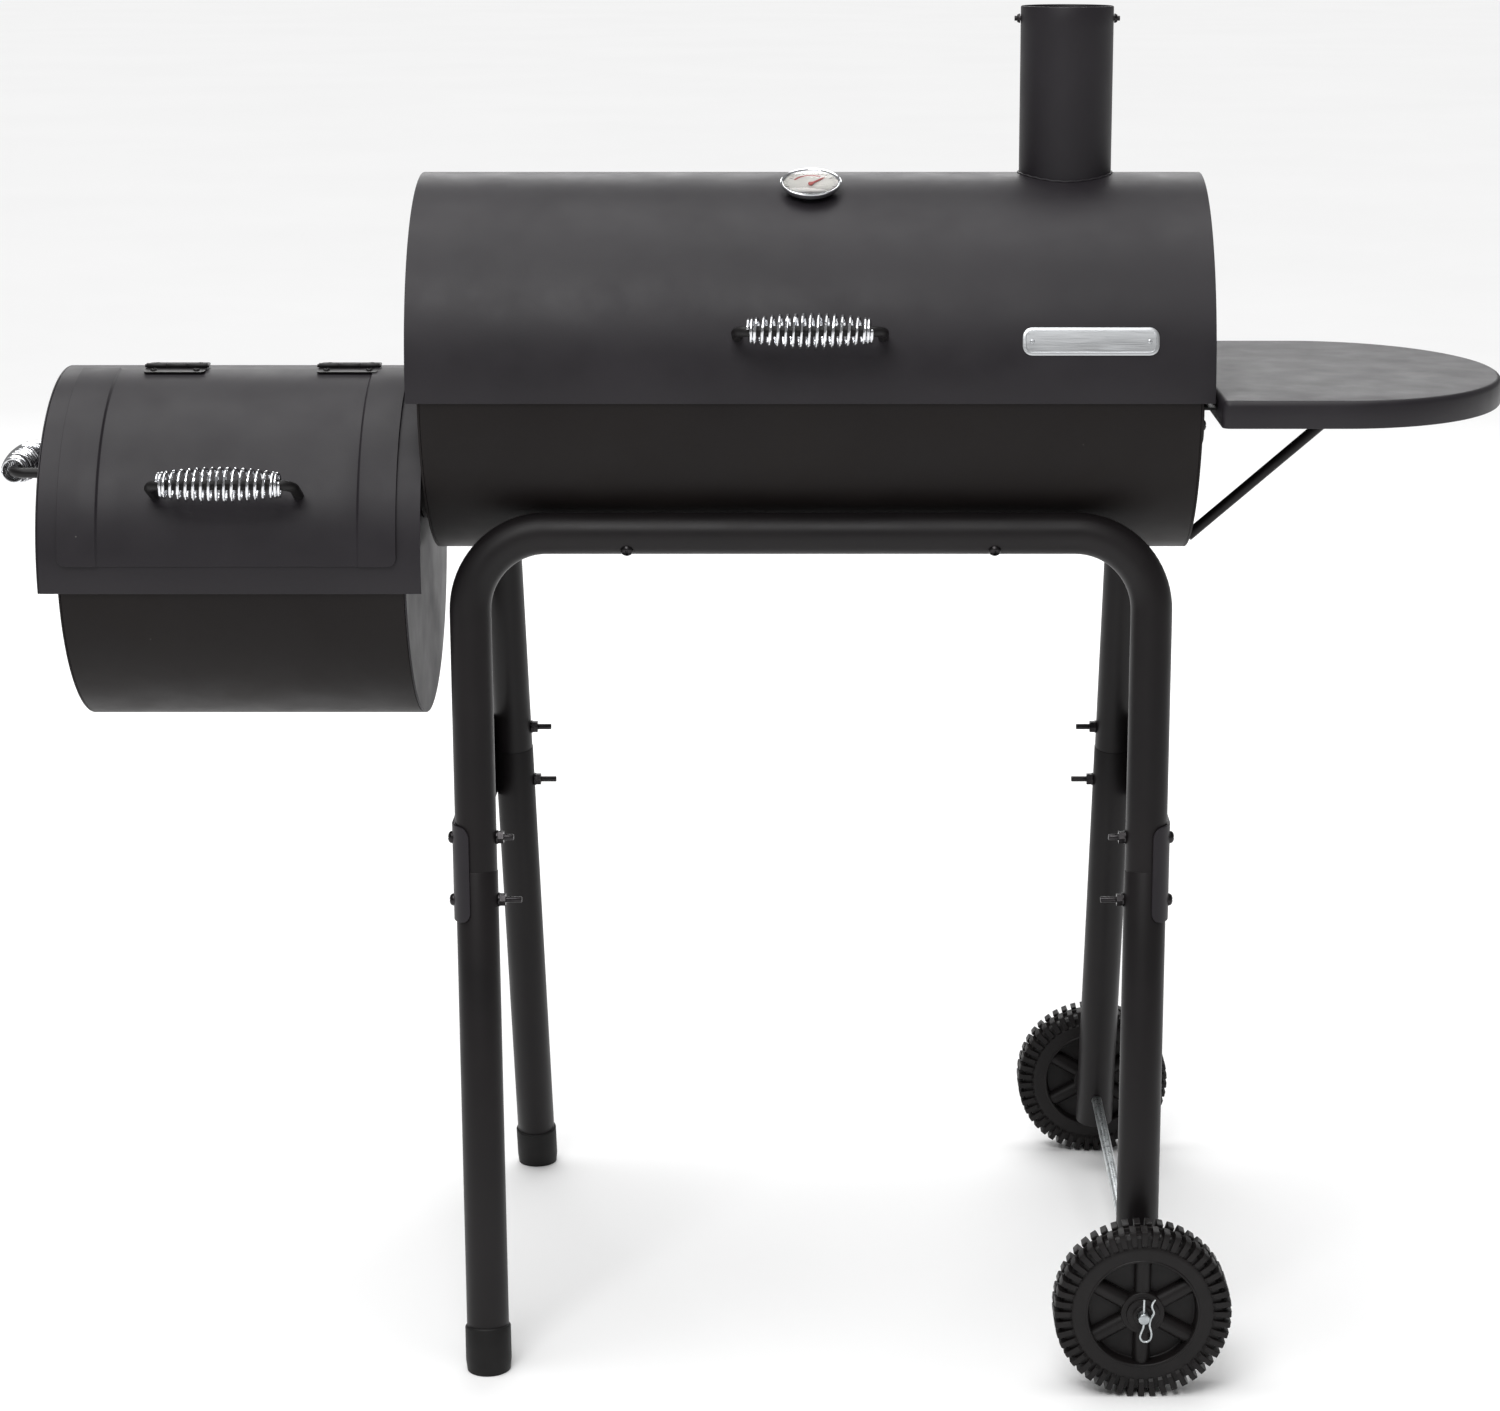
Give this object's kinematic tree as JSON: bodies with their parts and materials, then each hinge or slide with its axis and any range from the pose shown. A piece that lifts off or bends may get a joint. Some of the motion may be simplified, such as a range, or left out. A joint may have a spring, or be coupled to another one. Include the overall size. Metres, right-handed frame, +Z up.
{
  "type": "offset smoker",
  "caption": "Barrel smoker on a tube stand with an offset firebox on its left end, a hinged lid with chimney and thermometer, a half-oval side shelf and two wheels.",
  "frame": {"origin": "on the ground, under the centre of the object's box", "axes": "+X to the shelf and wheels, -X to the firebox, -Y to the front where the handles are, +Z up"},
  "size_m": [1.4762, 0.704, 1.298],
  "materials": {
    "high_heat_paint": "matte high-heat paint on steel sheet and tube",
    "grate_steel": "plated steel grate",
    "zinc_steel": "zinc-plated steel",
    "chrome_wire": "chrome-plated steel wire coil",
    "chrome_case": "polished stainless steel case",
    "dial_enamel": "white printed dial",
    "needle_red": "red painted pointer",
    "moulded_plastic": "black injection-moulded plastic",
    "gauge_glass": "clear flat lens",
    "badge_plate": "plain stamped plate"
  },
  "bodies": {
    "stand": {"barrel_shell": "high_heat_paint", "barrel_end_left": "high_heat_paint", "barrel_end_right": "high_heat_paint", "barrel_hinge_left": "high_heat_paint", "barrel_hinge_right": "high_heat_paint", "firebox_shell": "high_heat_paint", "firebox_end_right": "high_heat_paint", "firebox_end_left": "high_heat_paint", "throat_collar": "high_heat_paint", "firebox_hood": "high_heat_paint", "hood_end_left": "high_heat_paint", "hood_hinge_left": "high_heat_paint", "hood_hinge_right": "high_heat_paint", "shelf_tray": "high_heat_paint", "shelf_strut": "high_heat_paint", "front_frame": "high_heat_paint", "rear_frame": "high_heat_paint", "leg_front_left": "high_heat_paint", "leg_front_right": "high_heat_paint", "leg_rear_left": "high_heat_paint", "leg_rear_right": "high_heat_paint", "side_brace_left": "high_heat_paint", "side_brace_right": "high_heat_paint", "cooking_grate_left": "grate_steel", "cooking_grate_right": "grate_steel", "fire_grate": "grate_steel", "lid_pin_left": "zinc_steel", "lid_pin_right": "zinc_steel", "door_pin_left": "zinc_steel", "door_pin_right": "zinc_steel", "side_door_pin": "zinc_steel", "axle": "zinc_steel", "hitch_pin_front": "zinc_steel", "hitch_pin_rear": "zinc_steel", "foot_cap_front": "moulded_plastic", "foot_cap_rear": "moulded_plastic"},
    "main_lid": {"lid_shell": "high_heat_paint", "lid_end_left": "high_heat_paint", "lid_end_right": "high_heat_paint", "lid_hinge_left": "high_heat_paint", "lid_hinge_right": "high_heat_paint", "lid_handle_rod": "high_heat_paint", "lid_handle_coil": "chrome_wire", "gauge_case": "chrome_case", "gauge_dial": "dial_enamel", "chimney": "high_heat_paint"},
    "gauge_hand": {"gauge_needle": "needle_red"},
    "chimney_damper": {"damper_rod": "zinc_steel", "damper_plate": "high_heat_paint"},
    "firebox_door": {"door_panel": "high_heat_paint", "door_handle_rod": "high_heat_paint", "door_handle_coil": "chrome_wire", "door_hinge_left": "high_heat_paint", "door_hinge_right": "high_heat_paint"},
    "end_door": {"side_door": "high_heat_paint", "side_handle_rod": "high_heat_paint", "side_handle_coil": "chrome_wire"},
    "air_shutter": {"vent_shutter": "high_heat_paint"},
    "front_wheel": {"wheel_front": "moulded_plastic"},
    "rear_wheel": {"wheel_rear": "moulded_plastic"}
  },
  "joints": [
    {"name": "main_lid_hinge", "type": "hinge", "parent": "stand", "child": "main_lid", "pos_m": [0.0581, 0.19, 0.946], "axis": [-1, 0, 0], "range_deg": [0, 90]},
    {"name": "gauge_spindle", "type": "hinge", "parent": "main_lid", "child": "gauge_hand", "pos_m": [0.0581, -0.06666, 1.12565], "axis": [0, -0.3584, 0.9336], "range_deg": [-90, 180]},
    {"name": "damper_pivot", "type": "hinge", "parent": "main_lid", "child": "chimney_damper", "pos_m": [0.3061, 0, 1.286], "axis": [1, 0, 0], "range_deg": [0, 90]},
    {"name": "firebox_door_hinge", "type": "hinge", "parent": "stand", "child": "firebox_door", "pos_m": [-0.4984, -0.01889, 0.95071], "axis": [-1, 0, 0], "range_deg": [0, 125]},
    {"name": "end_door_hinge", "type": "hinge", "parent": "stand", "child": "end_door", "pos_m": [-0.6848, 0, 0.758], "axis": [0, -1, 0], "range_deg": [0, 95]},
    {"name": "air_shutter_pivot", "type": "hinge", "parent": "stand", "child": "air_shutter", "pos_m": [-0.66325, 0, 0.728], "axis": [1, 0, 0], "range_deg": [0, 70]},
    {"name": "front_wheel_spin", "type": "hinge", "parent": "stand", "child": "front_wheel", "pos_m": [0.3754, -0.3236, 0.085], "axis": [0, 1, 0], "continuous": true},
    {"name": "rear_wheel_spin", "type": "hinge", "parent": "stand", "child": "rear_wheel", "pos_m": [0.3754, 0.3236, 0.085], "axis": [0, 1, 0], "continuous": true}
  ]
}
